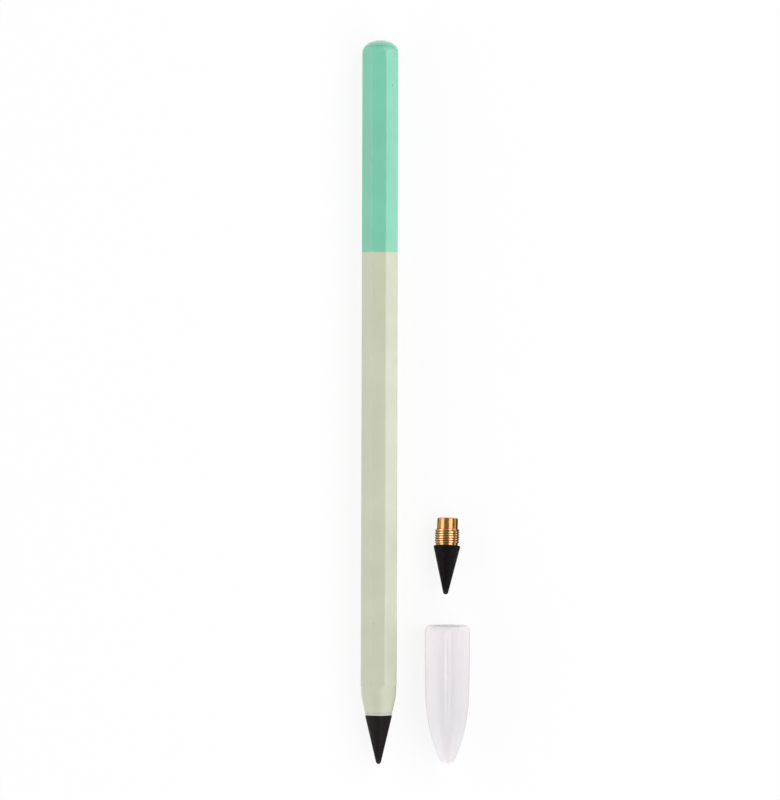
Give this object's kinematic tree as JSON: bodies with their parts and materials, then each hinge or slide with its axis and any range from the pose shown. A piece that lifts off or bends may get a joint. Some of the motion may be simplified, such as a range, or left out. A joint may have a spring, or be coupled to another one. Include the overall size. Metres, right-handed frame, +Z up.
{
  "type": "inkless metal pencil",
  "caption": "Two-tone octagonal metal pencil with a screw-in graphite-alloy nib and domed tail, laid out with its push-on translucent nib cap and a spare nib.",
  "frame": {"origin": "on the barrel facet that rests on the table, under the middle of the pencil's length", "axes": "+Y along the pencil from its nib to its domed end, +Z up from the table, +X towards the cap and the spare nib"},
  "size_m": [0.0227, 0.15, 0.0094],
  "materials": {
    "lacquered_barrel": "satin lacquer in sage, with mint over the rear 44 mm",
    "mint_lacquer": "satin mint lacquer",
    "brass_stud": "bright turned brass",
    "graphite_point": "moulded black graphite alloy, matt with a faint sheen",
    "milky_cap": "milky translucent moulded plastic"
  },
  "bodies": {
    "pencil": {"barrel": "lacquered_barrel", "tail_plug": "mint_lacquer"},
    "nib": {"nib_ferrule": "brass_stud", "nib_point": "graphite_point"},
    "spare_nib": {"spare_ferrule": "brass_stud", "spare_point": "graphite_point"},
    "cap": {"cap": "milky_cap"}
  },
  "joints": [
    {"name": "nib_unscrew", "type": "slide", "parent": "pencil", "child": "nib", "axis": [0, -1, 0], "range_m": [0, 0.008]},
    {"name": "cap_lift", "type": "slide", "parent": "pencil", "child": "cap", "axis": [0, 0, 1], "range_m": [0, 0.03]},
    {"name": "spare_nib_lift", "type": "slide", "parent": "pencil", "child": "spare_nib", "axis": [0, 0, 1], "range_m": [0, 0.03]}
  ]
}
